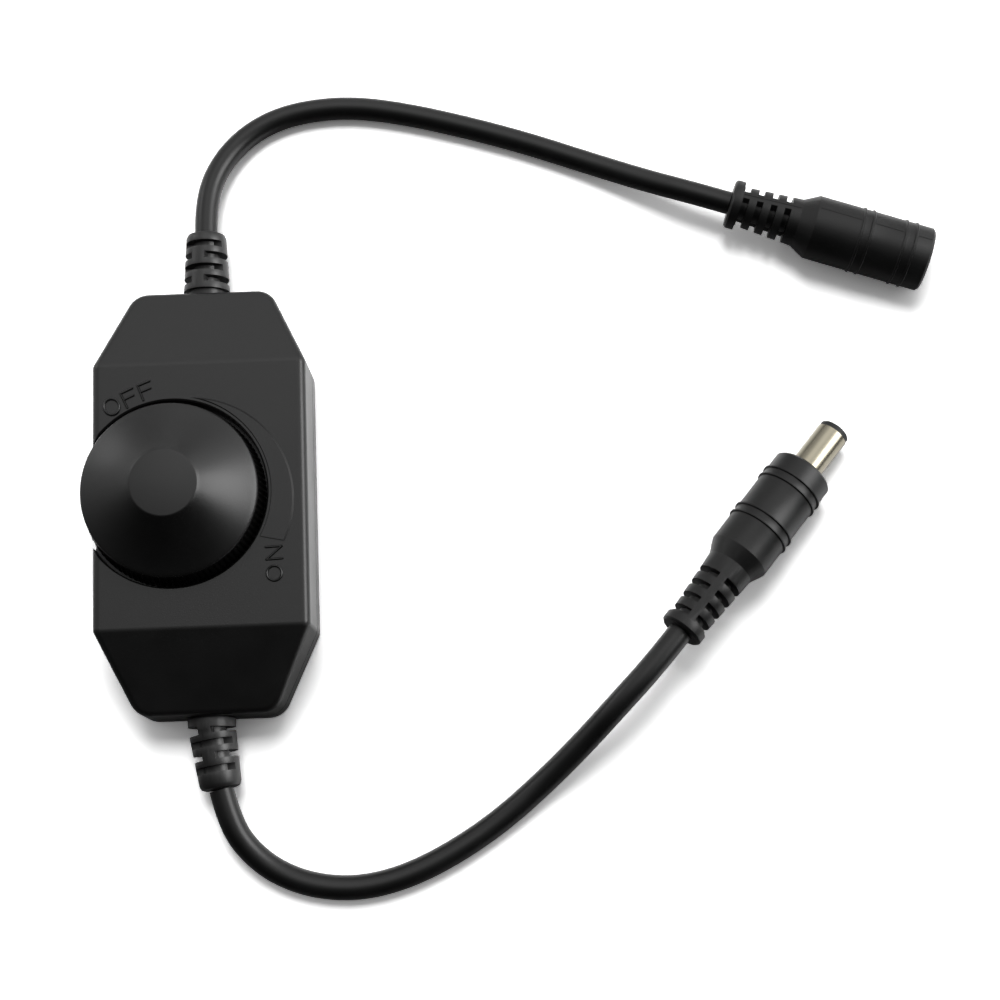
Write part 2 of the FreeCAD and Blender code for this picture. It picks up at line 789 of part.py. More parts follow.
def capacitor_base():
    """Square plastic foot of the capacitor, two corners cut."""
    size = (capacitor_base_size, capacitor_base_size, capacitor_base_height)
    base = board_block(capacitor_place, size, part_lift, 0)
    corners = []
    for edge in base.Edges:
        upright = edge.BoundBox.ZLength > capacitor_base_height - 0.01
        if upright and edge.BoundBox.YMin > capacitor_place[1]:
            corners.append(edge)
    return base.makeChamfer(capacitor_base_cut, corners)


def small_parts(places):
    """Row of like chip parts, one solid each."""
    return Part.makeCompound([board_block(place, small_part_size, part_lift, 0) for place in places])


def revolved(outline):
    """Solid of revolution about the Y axis from (distance, radius) points."""
    points = [V(radius, distance, 0) for distance, radius in outline]
    points.append(points[0])
    return Part.Face(Part.makePolygon(points)).revolve(ORIGIN, V(0, 1, 0), 360)


def slot_cutter(low, high, core_radius, reach, web, upright):
    """Ring-shaped slot about the Y axis, broken by two webs, upright or to the sides."""
    ring = Part.makeCylinder(reach, high - low, V(0, low, 0), V(0, 1, 0))
    ring = ring.cut(Part.makeCylinder(core_radius, high - low, V(0, low, 0), V(0, 1, 0)))
    across, along = (-web / 2, web / 2), (-reach - 1, reach + 1)
    y_range = (low - 1, high + 1)
    if upright:
        return ring.cut(box(across, y_range, along))
    return ring.cut(box(along, y_range, across))


def strain_relief(cord_diameter, lean, roll, first_slot, undercut):
    """Slotted sleeve along +Y that bends at its first slot, with its neck and flange inside the case."""
    core = cord_diameter / 2 + core_skin
    end = relief_length
    sleeve = revolved((
        (0, 0), (0, relief_base_radius), (end - relief_end_round, relief_end_radius),
        (end - relief_end_round * 0.3, relief_end_radius - relief_end_round * 0.3),
        (end, relief_end_radius - relief_end_round), (end, 0),
    ))
    reach = relief_base_radius + 1
    for index in range(relief_slot_count):
        low = first_slot + index * relief_slot_pitch - relief_slot_width / 2
        high = low + relief_slot_width
        sleeve = sleeve.cut(slot_cutter(low, high, core, reach, relief_web, index % 2 == 0))
    sleeve.rotate(ORIGIN, V(0, 1, 0), roll)
    if undercut:
        ring = revolved((
            (-1, relief_neck_radius), (-1, reach), (undercut, reach), (undercut, relief_neck_radius),
        ))
        sleeve = sleeve.cut(ring)
    bend = first_slot - relief_slot_width / 2
    root = sleeve.common(box((-reach, reach), (-1, bend + relief_slot_width / 2), (-reach, reach)))
    sleeve = sleeve.cut(box((-reach, reach), (-1, bend), (-reach, reach)))
    sleeve.rotate(V(0, bend, 0), UP, lean)
    sleeve = sleeve.fuse(root)
    sleeve.translate(V(0, relief_wall_gap, 0))
    flange_face = -wall - case_draft - relief_neck_clearance
    flange_back = flange_face - relief_flange_thickness
    inside = revolved((
        (relief_wall_gap, 0), (relief_wall_gap, relief_neck_radius),
        (flange_face, relief_neck_radius), (flange_face, relief_flange_radius),
        (flange_back, relief_flange_radius), (flange_back, cord_diameter / 2),
        (flange_back - jacket_stub, cord_diameter / 2), (flange_back - jacket_stub, 0),
    ))
    flat = relief_neck_radius
    inside = inside.common(box((-reach, reach), (flange_back - jacket_stub, reach), (-flat, flat)))
    return sleeve.fuse(inside).removeSplitter()


def relief_in():
    """Strain relief of the socket's cord, at the north end."""
    shape = strain_relief(cord_in_diameter, 0, relief_in_roll, relief_in_first_slot, relief_in_undercut)
    return relief_at_end(shape, 1)


def relief_out():
    """Strain relief of the plug's cord, at the south end, bent a little to the east."""
    shape = strain_relief(cord_out_diameter, relief_lean, relief_out_roll, relief_out_first_slot, 0)
    return relief_at_end(shape, -1)


def relief_tip(side, lean, first_slot):
    """Middle of the face where the cord leaves a relief."""
    turn = math.radians(lean)
    bend = first_slot - relief_slot_width / 2
    leaning = relief_length - bend
    spread = case_draft * (1 - seam_height / case_height)
    root = V(0, side * (case_length / 2 + spread + relief_wall_gap + bend), seam_height)
    return root + V(-side * leaning * math.sin(turn), side * leaning * math.cos(turn), 0)


def relief_at_end(shape, side):
    """Set a relief, made along +Y, against one end wall of the case."""
    if side < 0:
        shape.rotate(ORIGIN, UP, 180)
    spread = case_draft * (1 - seam_height / case_height)
    shape.translate(V(0, side * (case_length / 2 + spread), seam_height))
    return shape


def laid(shape, nose, heading, dip):
    """Lay a piece made along +Y behind its front face: nose place, heading and dip of the nose."""
    shape.rotate(ORIGIN, UP, 90)
    shape.rotate(ORIGIN, V(0, 1, 0), dip)
    shape.rotate(ORIGIN, UP, heading)
    shape.translate(nose)
    return shape


def lay_plug(shape):
    return laid(shape, plug_nose, plug_heading, plug_dip)


def lay_socket(shape):
    return laid(shape, socket_nose, socket_heading, socket_dip)


def ridge_points(distance, radius, height):
    """Profile points of one rounded ridge round a grip."""
    half = ridge_width / 2
    return (
        (distance - half, radius), (distance - half / 2, radius + height),
        (distance + half / 2, radius + height), (distance + half, radius),
    )


def grip(rim_radius, ridges, height, length, shoulder, taper, collar, total, first, pitch, count, cord):
    """Overmoulded grip: ridged barrel, shoulder, slotted taper and end collar."""
    outline = [(0, 0), (0, rim_radius - grip_front_round), (grip_front_round, rim_radius)]
    for distance in ridges:
        outline.extend(ridge_points(distance, rim_radius, height))
    collar_start = total - grip_collar_length
    outline.extend((
        (length, rim_radius), (length + shoulder, neck_radius),
        (collar_start, taper), (collar_start, collar),
        (total - grip_end_round, collar), (total, collar - grip_end_round), (total, 0),
    ))
    body = revolved(outline)
    core = cord / 2 + core_skin
    for index in range(count):
        distance = first + index * pitch
        low, high = distance - grip_slot_width / 2, distance + grip_slot_width / 2
        body = body.cut(slot_cutter(low, high, core, rim_radius, grip_web, True))
    return body


def plug_body():
    """Plug grip with the seat for the barrel."""
    body = grip(
        grip_rim_radius, plug_ridges, ridge_height, plug_grip_length, plug_shoulder, plug_taper_radius,
        plug_collar_radius, plug_total, plug_first_slot, plug_slot_pitch, plug_slot_count, cord_out_diameter,
    )
    seat = barrel_radius + seat_fit
    body = body.cut(Part.makeCylinder(seat, barrel_seat + 1 + seat_fit, V(0, -1, 0), V(0, 1, 0)))
    return lay_plug(body.removeSplitter())


def plug_barrel():
    """Plated outer sleeve of the plug."""
    inner = barrel_radius - barrel_wall
    front = -barrel_length + tip_length
    outline = (
        (barrel_seat, inner), (barrel_seat, barrel_radius), (front, barrel_radius), (front, inner),
    )
    return lay_plug(revolved(outline))


def plug_insulator():
    """Insulating sleeve inside the barrel; its front ring closes the tip."""
    inner = contact_bore_radius + contact_wall + seat_fit
    outer = barrel_radius - barrel_wall - seat_fit
    front = -barrel_length + tip_length - seat_fit
    tip = -barrel_length
    ring = barrel_radius - tip_inset
    outline = (
        (barrel_seat, inner), (barrel_seat, outer), (front, outer), (front, ring),
        (tip + tip_inset * 2, ring), (tip, ring - tip_inset * 2), (tip, inner),
    )
    return lay_plug(revolved(outline))


def plug_contact():
    """Inner sleeve that takes the centre pin of a socket."""
    front = -barrel_length + contact_inset
    outer = contact_bore_radius + contact_wall
    outline = (
        (barrel_seat, 0), (barrel_seat, outer), (front, outer), (front, contact_bore_radius),
        (barrel_seat - contact_plug, contact_bore_radius), (barrel_seat - contact_plug, 0),
    )
    return lay_plug(revolved(outline))


def socket_body():
    """Socket grip with the seat for its insert."""
    body = grip(
        socket_rim_radius, socket_ridges, socket_ridge_height, socket_grip_length, socket_shoulder,
        socket_taper_radius, socket_collar_radius, socket_total, socket_first_slot, socket_slot_pitch,
        socket_slot_count, cord_in_diameter,
    )
    body.rotate(ORIGIN, V(0, 1, 0), socket_roll)
    bore = Part.makeCylinder(socket_bore_radius, socket_bore_depth + 1, V(0, -1, 0), V(0, 1, 0))
    return lay_socket(body.cut(bore).removeSplitter())


def socket_insert():
    """Insulating cup of the socket, slotted for the side contact."""
    outer = socket_bore_radius - seat_fit
    floor_start = socket_bore_depth - insert_base
    hole = pin_radius + seat_fit
    outline = (
        (insert_setback, insert_mouth_radius + insert_lead_in), (insert_setback, outer),
        (socket_bore_depth - seat_fit, outer), (socket_bore_depth - seat_fit, hole), (floor_start, hole),
        (floor_start, insert_mouth_radius), (insert_setback + insert_lead_in, insert_mouth_radius),
    )
    cup = revolved(outline)
    half = spring_width / 2 + seat_fit
    slot_top = spring_root() + spring_thickness + seat_fit
    cup = cup.cut(box((-half, half), (insert_slot_start, floor_start + 1), (0, slot_top)))
    return lay_socket(cup.removeSplitter())


def socket_pin():
    """Centre pin with a rounded end."""
    front = pin_setback
    outline = (
        (front, 0), (front, pin_radius * 0.55), (front + pin_nose * 0.4, pin_radius * 0.9),
        (front + pin_nose, pin_radius),
        (socket_bore_depth - seat_fit, pin_radius), (socket_bore_depth - seat_fit, 0),
    )
    return lay_socket(revolved(outline))


def spring_root():
    """Radius at which the bowed leaf's two ends rest; its belly reaches into the mouth by a fifth."""
    return insert_mouth_radius + spring_bulge * 0.8


def socket_spring():
    """Side contact, a bowed leaf in the insert's slot."""
    half = spring_width / 2
    root = spring_root()
    start, end = spring_start, socket_bore_depth - insert_base + spring_tail
    middle = (start + end) / 2
    low = [V(-half, start, root), V(-half, middle, root - spring_bulge), V(-half, end, root)]
    high = [point + V(0, 0, spring_thickness) for point in low]
    wire = Part.Wire([
        Part.Arc(low[0], low[1], low[2]).toShape(),
        Part.LineSegment(low[2], high[2]).toShape(),
        Part.Arc(high[2], high[1], high[0]).toShape(),
        Part.LineSegment(high[0], low[0]).toShape(),
    ])
    return lay_socket(Part.Face(wire).extrude(V(spring_width, 0, 0)))


def tail_point(nose, heading, dip, distance):
    """Point on the axis of a laid piece, a distance behind its front face."""
    turn, drop = math.radians(heading), math.radians(dip)
    nose_ward = V(math.cos(turn) * math.cos(drop), math.sin(turn) * math.cos(drop), -math.sin(drop))
    return nose - nose_ward * distance


def route_wire(points, name):
    """Straight runs joined by tangent arcs, each as large as its two runs allow."""
    edges = []
    last = points[0]
    radii = []
    for index in range(1, len(points) - 1):
        here = points[index]
        back = points[index - 1] - here
        ahead = points[index + 1] - here
        turn = math.pi - back.getAngle(ahead)
        reach = 0.45 * min(back.Length, ahead.Length)
        radius = reach / math.tan(turn / 2)
        radii.append(round(radius, 1))
        start = here + back.normalize() * reach
        end = here + ahead.normalize() * reach
        inward = (back + ahead).normalize()
        middle = here + inward * (radius / math.cos(turn / 2) - radius)
        edges.append(Part.LineSegment(last, start).toShape())
        edges.append(Part.Arc(start, middle, end).toShape())
        last = end
    edges.append(Part.LineSegment(last, points[-1]).toShape())
    wire = Part.Wire(edges)
    if name:
        print(name, "bend radii", radii, "length", round(wire.Length, 1))
    return wire


def tube(points, radius, name=""):
    """Round solid along a route."""
    wire = route_wire(points, name)
    heading = (points[1] - points[0]).normalize()
    section = Part.Wire([Part.makeCircle(radius, points[0], heading)])
    solid = wire.makePipeShell([section], True, False)
    if name:
        expected = math.pi * radius * radius * wire.Length
        print(name, "volume", round(solid.Volume, 1), "against", round(expected, 1))
    return solid


def conductor(side, end):
    """One insulated wire from a cord's jacket over the board's edge to its pad."""
    x = side * wire_spread
    start = case_length / 2 - wall - relief_neck_clearance - relief_flange_thickness - jacket_stub
    landing = board_half_y + wire_landing
    level = board_top + wire_radius + wire_board_gap
    points = [
        V(x, end * start, seam_height),
        V(x + side * wire_splay[0], end * (start * 0.65 + landing * 0.35), seam_height + wire_board_gap),
        V(x + side * wire_splay[1], end * landing, level),
        V(x + side * wire_splay[2], end * (board_half_y - wire_end_inset), level),
    ]
    return tube(points, wire_radius)


def export(name, shape):
    """Write one sub-part to its own file."""
    shape.exportStep("parts/" + name + ".step")


def build():
    os.makedirs("parts", exist_ok=True)
    hull = case_hull()
    export("upper_case", upper_case(hull))
    export("lower_case", lower_case(hull))
    export("case_screws", case_screws())
    export("dial_knob", dial_knob())
    export("pot_housing", pot_housing())
    export("pot_track", pot_track())
    export("pot_shaft", pot_shaft())
    export("pot_wiper", pot_wiper())
    export("pot_terminals", pot_terminals())
    export("circuit_board", circuit_board())
    export("power_transistor", board_block(transistor_place, transistor_size, part_lift, package_bevel))
    export("transistor_tab", transistor_tab())
    export("timer_chip", board_block(chip_place, chip_size, chip_lift, package_bevel))
    export("chip_leads", chip_leads())
    export("smoothing_capacitor", smoothing_capacitor())
    export("capacitor_base", capacitor_base())
    export("diode", board_block(diode_place, diode_size, part_lift, package_bevel))
    export("chip_resistors", small_parts(resistor_places))
    export("chip_capacitors", small_parts(ceramic_places))
    export("red_wire_in", conductor(-1, 1))
    export("black_wire_in", conductor(1, 1))
    export("red_wire_out", conductor(-1, -1))
    export("black_wire_out", conductor(1, -1))
    export("relief_in", relief_in())
    export("relief_out", relief_out())
    export("plug_body", plug_body())
    export("plug_barrel", plug_barrel())
    export("plug_insulator", plug_insulator())
    export("plug_contact", plug_contact())
    export("socket_body", socket_body())
    export("socket_insert", socket_insert())
    export("socket_pin", socket_pin())
    export("socket_spring", socket_spring())
    socket_tail = tail_point(socket_nose, socket_heading, socket_dip, socket_total)
    plug_tail = tail_point(plug_nose, plug_heading, plug_dip, plug_total)
    north_tip = relief_tip(1, 0, relief_in_first_slot)
    south_tip = relief_tip(-1, relief_lean, relief_out_first_slot)
    route_in = (north_tip,) + cord_in_points + (socket_tail,)
    route_out = (south_tip,) + cord_out_points + (plug_tail,)
    export("cord_in", tube(route_in, cord_in_diameter / 2, "cord_in"))
    export("cord_out", tube(route_out, cord_out_diameter / 2, "cord_out"))
    print("cord ends", route_in[0], route_in[-1], route_out[0], route_out[-1])


build()
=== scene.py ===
import math

import bpy
from mathutils import Euler, Matrix, Vector


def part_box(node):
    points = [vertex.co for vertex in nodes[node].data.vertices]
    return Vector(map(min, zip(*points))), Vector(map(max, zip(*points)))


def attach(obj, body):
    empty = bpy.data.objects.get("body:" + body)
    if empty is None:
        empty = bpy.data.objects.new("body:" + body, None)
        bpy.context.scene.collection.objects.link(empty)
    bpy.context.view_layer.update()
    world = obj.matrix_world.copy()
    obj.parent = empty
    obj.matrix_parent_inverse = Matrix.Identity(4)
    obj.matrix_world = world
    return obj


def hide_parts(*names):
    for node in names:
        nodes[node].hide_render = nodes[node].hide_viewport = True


# Rotary cord dimmer. Metres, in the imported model's frame: X across the case, Y along it, Z up,
# the origin in the middle of the case's underside.
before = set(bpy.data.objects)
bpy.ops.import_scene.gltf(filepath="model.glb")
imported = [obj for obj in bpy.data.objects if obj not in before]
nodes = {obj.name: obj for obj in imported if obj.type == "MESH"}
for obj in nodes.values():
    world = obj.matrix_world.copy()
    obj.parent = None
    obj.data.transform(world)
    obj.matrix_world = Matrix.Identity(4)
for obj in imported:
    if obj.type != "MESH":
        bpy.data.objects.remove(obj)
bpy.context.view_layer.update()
bpy.ops.object.select_all(action="DESELECT")

# The photographer's camera looks down from almost straight above, from a third of a metre away,
# a little south of the case, which lies slightly turned in the picture.
camera_place = Vector((0.046469, -0.061347, 0.327809))
camera_target = Vector((0.048824, -0.000044, 0.0))
sensor_width = 36.0
focal_length = 70.4

bpy.ops.object.camera_add(location=camera_place)
camera = bpy.context.object
camera.name = "photo_camera"
camera.rotation_mode = "QUATERNION"
camera.rotation_quaternion = (camera_target - camera_place).to_track_quat("-Z", "Y")
camera.data.sensor_width = sensor_width
camera.data.lens = focal_length
camera.data.clip_start = 0.01
bpy.context.scene.camera = camera
bpy.context.scene.view_settings.view_transform = "Standard"

# The case is two injection-moulded shells in black ABS with a fine spark texture, closed by four
# screws from below. The top shell carries the dial's round pocket and the raised crescent.


def feed(tree, source, socket):
    """Give a socket a plain number, or link another node's output to it."""
    if isinstance(source, (int, float)):
        socket.default_value = source
    else:
        tree.links.new(source, socket)


def math_node(tree, operation, *sources):
    """The result of a math node on numbers or other nodes' outputs."""
    node = tree.nodes.new("ShaderNodeMath")
    node.operation = operation
    for source, socket in zip(sources, node.inputs):
        feed(tree, source, socket)
    return node.outputs["Value"]


def map_range(tree, source, from_min, from_max, to_min=0.0, to_max=1.0):
    """A value moved from one range to another and held at its ends."""
    node = tree.nodes.new("ShaderNodeMapRange")
    ends = {"From Min": from_min, "From Max": from_max, "To Min": to_min, "To Max": to_max}
    for name, end in ends.items():
        node.inputs[name].default_value = end
    tree.links.new(source, node.inputs["Value"])
    return node.outputs["Result"]


def noise(tree, place, scale, detail):
    """A cloudy value around a half."""
    node = tree.nodes.new("ShaderNodeTexNoise")
    node.inputs["Detail"].default_value = detail
    tree.links.new(place, node.inputs["Vector"])
    feed(tree, scale, node.inputs["Scale"])
    return node.outputs["Fac"]


def make_moulded_skin():
    """Node group for moulded and extruded plastic: fine grain, slow mottling and a few dust specks."""
    skin_sockets = (
        ("INPUT", "Vector", "Place"), ("INPUT", "Color", "Deep Colour"), ("INPUT", "Color", "Pale Colour"),
        ("INPUT", "Float", "Grains Per Metre"), ("INPUT", "Float", "Roughness"),
        ("INPUT", "Float", "Roughness Spread"), ("INPUT", "Float", "Dust"),
        ("OUTPUT", "Color", "Colour"), ("OUTPUT", "Float", "Roughness"), ("OUTPUT", "Float", "Height"),
    )
    grain_detail = 3.0
    mottles_per_metre = 130.0
    mottle_detail = 4.0
    mottle_low = 0.35
    mottle_high = 0.75
    mottle_paleness = 0.6
    mottle_relief = 0.35
    dust_cells_per_metre = 620.0
    speck_edge = 0.10
    speck_core = 0.02
    dust_dulling = 0.3

    group = bpy.data.node_groups.new("moulded_skin", "ShaderNodeTree")
    for direction, kind, name in skin_sockets:
        group.interface.new_socket(name=name, in_out=direction, socket_type="NodeSocket" + kind)
    link = group.links.new
    given = group.nodes.new("NodeGroupInput")
    result = group.nodes.new("NodeGroupOutput")
    place = given.outputs["Place"]

    grain = noise(group, place, given.outputs["Grains Per Metre"], grain_detail)
    mottle = noise(group, place, mottles_per_metre, mottle_detail)
    cells = group.nodes.new("ShaderNodeTexVoronoi")
    cells.inputs["Scale"].default_value = dust_cells_per_metre
    link(place, cells.inputs["Vector"])
    lucky = group.nodes.new("ShaderNodeSeparateColor")
    link(cells.outputs["Color"], lucky.inputs["Color"])
    chosen = math_node(group, "LESS_THAN", lucky.outputs["Red"], given.outputs["Dust"])
    near = map_range(group, cells.outputs["Distance"], speck_edge, speck_core)
    speck = math_node(group, "MULTIPLY", chosen, near)

    clouds = map_range(group, mottle, mottle_low, mottle_high, to_max=mottle_paleness)
    blend = group.nodes.new("ShaderNodeMix")
    blend.data_type = "RGBA"
    link(math_node(group, "MAXIMUM", clouds, speck), blend.inputs["Factor"])
    link(given.outputs["Deep Colour"], blend.inputs["A"])
    link(given.outputs["Pale Colour"], blend.inputs["B"])
    link(blend.outputs["Result"], result.inputs["Colour"])

    centred = math_node(group, "SUBTRACT", mottle, 0.5)
    uneven = math_node(
        group, "MULTIPLY_ADD", centred, given.outputs["Roughness Spread"], given.outputs["Roughness"],
    )
    dulled = math_node(group, "MULTIPLY_ADD", speck, dust_dulling, uneven)
    dulled.node.use_clamp = True
    link(dulled, result.inputs["Roughness"])
    link(math_node(group, "MULTIPLY_ADD", mottle, mottle_relief, grain), result.inputs["Height"])
    return group


def skin_material(name, deep, pale, grains, roughness, spread, dust, bump_strength, bump_depth, **optics):
    """A material whose colour, roughness and bump come from the moulded skin."""
    material = bpy.data.materials.new(name)
    material.use_nodes = True
    tree = material.node_tree
    shader = tree.nodes["Principled BSDF"]
    for socket, value in optics.items():
        shader.inputs[socket].default_value = value
    where = tree.nodes.new("ShaderNodeTexCoord")
    skin = tree.nodes.new("ShaderNodeGroup")
    skin.node_tree = moulded_skin
    settings = {
        "Deep Colour": (*deep, 1), "Pale Colour": (*pale, 1), "Grains Per Metre": grains,
        "Roughness": roughness, "Roughness Spread": spread, "Dust": dust,
    }
    for socket, value in settings.items():
        skin.inputs[socket].default_value = value
    tree.links.new(where.outputs["Object"], skin.inputs["Place"])
    bump = tree.nodes.new("ShaderNodeBump")
    bump.inputs["Strength"].default_value = bump_strength
    bump.inputs["Distance"].default_value = bump_depth
    tree.links.new(skin.outputs["Height"], bump.inputs["Height"])
    tree.links.new(bump.outputs["Normal"], shader.inputs["Normal"])
    tree.links.new(skin.outputs["Colour"], shader.inputs["Base Color"])
    tree.links.new(skin.outputs["Roughness"], shader.inputs["Roughness"])
    return material


def grey(level, warmth=0.0):
    """A neutral linear colour, leaning warm or cool by a small share."""
    return (level * (1 + warmth), level, level * (1 - warmth))


def dress(piece, material):
    """Give a piece one material in place of what it had."""
    piece.data.materials.clear()
    piece.data.materials.append(material)


moulded_skin = make_moulded_skin()
case_plastic = skin_material(
    "case_plastic", deep=grey(0.0014), pale=grey(0.0034, -0.02), grains=5200.0, roughness=0.36,
    spread=0.10, dust=0.018, bump_strength=0.25, bump_depth=0.00005, IOR=1.5,
)
for name in ("upper_case", "lower_case"):
    dress(nodes[name], case_plastic)

# The words OFF and ON stand up from the top shell in strokes with steep sides, cut into the mould
# as grooves. OFF follows the pocket's rim, ON reads upwards beside the crescent.
stroke_width = 0.00042
stroke_height = 0.00030
stroke_flank = 0.00016
stroke_crease = 40
flank_bevel = stroke_flank * 0.99
flank_corner = 50
crescent_height = 0.0003
letter_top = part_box("upper_case")[1].z - crescent_height
middle_bar_share = 0.55
off_turn = 24.5
last_f_turn = 21.0
off_o_centre = (-0.01421, 0.01486)
off_o_across = 0.0025
off_o_along = 0.0027
f_feet = ((-0.01164, 0.01463), (-0.00900, 0.01579))
f_height = 0.00264
f_width = 0.0021
f_arm = 0.0018
on_turn = 92.5
on_o_centre = (0.01193, -0.01363)
on_o_size = 0.0024
n_foot = (0.01328, -0.01124)
n_height = 0.00260
n_width = 0.00203


def add_stroke(start, end):
    """One straight stroke between two points on the case's top, in the letter plane."""
    run = Vector(end) - Vector(start)
    middle = (Vector(start) + Vector(end)) / 2
    bpy.ops.mesh.primitive_cube_add(
        size=1, location=(middle.x, middle.y, letter_top),
        rotation=(0, 0, math.atan2(run.y, run.x)),
        scale=(run.length + stroke_width, stroke_width, stroke_flank * 2),
    )
    return bpy.context.object


def add_round(centre, across, along, turn):
    """The letter O as a flattened ring."""
    bpy.ops.mesh.primitive_torus_add(
        location=(centre[0], centre[1], letter_top), rotation=(0, 0, math.radians(turn)),
        major_segments=72, minor_segments=12, major_radius=along / 2, minor_radius=stroke_width / 2,
    )
    ring = bpy.context.object
    ring.scale = (across / along, 1, stroke_flank * 2 / stroke_width)
    return ring


def letter_point(origin, turn, right, up):
    """A point in a letter's own right and up directions, turned onto the case."""
    angle = math.radians(turn)
    return (
        origin[0] + right * math.cos(angle) - up * math.sin(angle),
        origin[1] + right * math.sin(angle) + up * math.cos(angle),
    )


def letter_f(origin, turn):
    """Stem, top arm and middle arm."""
    corner = letter_point(origin, turn, 0, f_height)
    bar = f_height * middle_bar_share
    return [
        add_stroke(origin, corner),
        add_stroke(corner, letter_point(origin, turn, f_width, f_height)),
        add_stroke(letter_point(origin, turn, 0, bar), letter_point(origin, turn, f_arm, bar)),
    ]


def letter_n(origin, turn):
    """Two stems and the diagonal between them."""
    foot = letter_point(origin, turn, n_width, 0)
    return [
        add_stroke(origin, letter_point(origin, turn, 0, n_height)),
        add_stroke(foot, letter_point(origin, turn, n_width, n_height)),
        add_stroke(letter_point(origin, turn, 0, n_height), foot),
    ]


def join_pieces(pieces, name):
    """One object made of several, with its place, turn and scale applied."""
    bpy.ops.object.select_all(action="DESELECT")
    for piece in pieces:
        piece.select_set(True)
    bpy.context.view_layer.objects.active = pieces[0]
    bpy.ops.object.join()
    joined = bpy.context.object
    joined.name = name
    bpy.ops.object.transform_apply(location=True, rotation=True, scale=True)
    return joined


strokes = [add_round(off_o_centre, off_o_across, off_o_along, off_turn)]
strokes += letter_f(f_feet[0], off_turn)
strokes += letter_f(f_feet[1], last_f_turn)
strokes += [add_round(on_o_centre, on_o_size, on_o_size, on_turn)]
strokes += letter_n(n_foot, on_turn)
lettering = join_pieces(strokes, "case_lettering")
flanks = lettering.modifiers.new("flanks", "BEVEL")
flanks.width = flank_bevel
flanks.segments = 1
flanks.angle_limit = math.radians(flank_corner)
bpy.ops.object.modifier_apply(modifier=flanks.name)
bpy.ops.object.mode_set(mode="EDIT")
bpy.ops.mesh.select_all(action="SELECT")
bpy.ops.transform.resize(
    value=(1, 1, stroke_height / stroke_flank), center_override=(0, 0, letter_top),
)
bpy.ops.object.mode_set(mode="OBJECT")
bpy.ops.object.shade_smooth_by_angle(angle=math.radians(stroke_crease))
dress(lettering, case_plastic)
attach(lettering, "housing")

# The dial is a hollow cone in satin black ABS, pressed on the potentiometer's flatted shaft. Its skirt
# is finely ribbed for the finger and spreads at its foot until it almost fills the pocket.
dial_x = -0.0045
dial_y = 0.0002
dial_crease = 22
skirt_foot_height = 0.013
skirt_foot_radius = 0.0145
skirt_spread = 0.00022
merge_distance = 0.000003


def merged_copy(node, name):
    """A selected copy of a CAD piece, its doubled corner points merged and its stored normals cleared."""
    bpy.ops.object.select_all(action="DESELECT")
    piece = bpy.data.objects.new(name, nodes[node].data.copy())
    bpy.context.scene.collection.objects.link(piece)
    bpy.context.view_layer.objects.active = piece
    piece.select_set(True)
    bpy.ops.mesh.customdata_custom_splitnormals_clear()
    bpy.ops.object.mode_set(mode="EDIT")
    bpy.ops.mesh.select_all(action="SELECT")
    bpy.ops.mesh.remove_doubles(threshold=merge_distance)
    bpy.ops.object.mode_set(mode="OBJECT")
    return piece


knob_plastic = skin_material(
    "knob_plastic", deep=grey(0.0010), pale=grey(0.0026), grains=5200.0, roughness=0.34, spread=0.08,
    dust=0.01, bump_strength=0.18, bump_depth=0.00004, IOR=1.5,
)
dial = merged_copy("dial_knob", "dial_with_skirt")
for vertex in dial.data.vertices:
    reach = math.hypot(vertex.co.x - dial_x, vertex.co.y - dial_y)
    if reach > skirt_foot_radius and vertex.co.z < skirt_foot_height:
        share = (reach + skirt_spread) / reach
        vertex.co.x = dial_x + (vertex.co.x - dial_x) * share
        vertex.co.y = dial_y + (vertex.co.y - dial_y) * share
bpy.ops.object.shade_smooth_by_angle(angle=math.radians(dial_crease))
dress(dial, knob_plastic)
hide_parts("dial_knob")
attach(dial, "dial")

# Four self-tapping zinc-plated screws hold the shells together from below, their heads sunk in
# round pockets.
screw_zinc = skin_material(
    "screw_zinc", deep=(0.42, 0.43, 0.45), pale=(0.60, 0.61, 0.63), grains=2400.0, roughness=0.32,
    spread=0.2, dust=0.02, bump_strength=0.15, bump_depth=0.00003, Metallic=1.0,
)
dress(nodes["case_screws"], screw_zinc)

